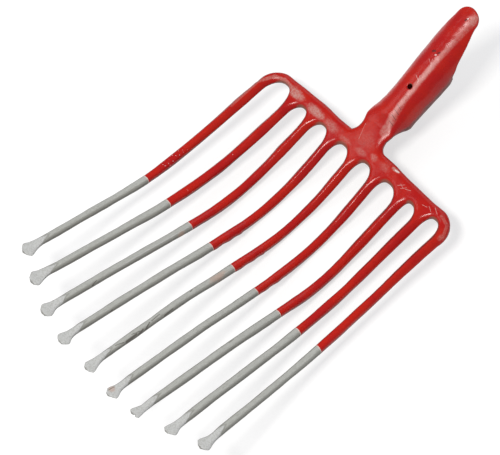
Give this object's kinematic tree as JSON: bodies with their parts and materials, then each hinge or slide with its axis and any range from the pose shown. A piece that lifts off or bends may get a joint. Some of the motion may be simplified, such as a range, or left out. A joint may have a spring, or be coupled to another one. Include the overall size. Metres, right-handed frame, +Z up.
{
  "type": "stone fork head",
  "caption": "Stone fork head with curved painted tines on a forged crossbar and a strapped socket for a handle.",
  "frame": {"origin": "middle of the handle's seat, the flat bottom of the socket's bore", "axes": "+X across the tines, from tine_1 to tine_9; -Y towards the tips of the tines; +Z up, with the head lying on its tines as it rests on level ground"},
  "size_m": [0.329, 0.5591, 0.1038],
  "materials": {
    "red_enamel": "glossy red enamel, brushed or dipped, with runs and pits",
    "tine_paint": "satin silver-grey paint on the working ends; the half towards the crossbar is the same glossy red enamel"
  },
  "bodies": {
    "root": {"crossbar": "red_enamel", "socket": "red_enamel", "tine_1": "tine_paint", "tine_2": "tine_paint", "tine_3": "tine_paint", "tine_4": "tine_paint", "tine_5": "tine_paint", "tine_6": "tine_paint", "tine_7": "tine_paint", "tine_8": "tine_paint", "tine_9": "tine_paint"}
  },
  "joints": []
}
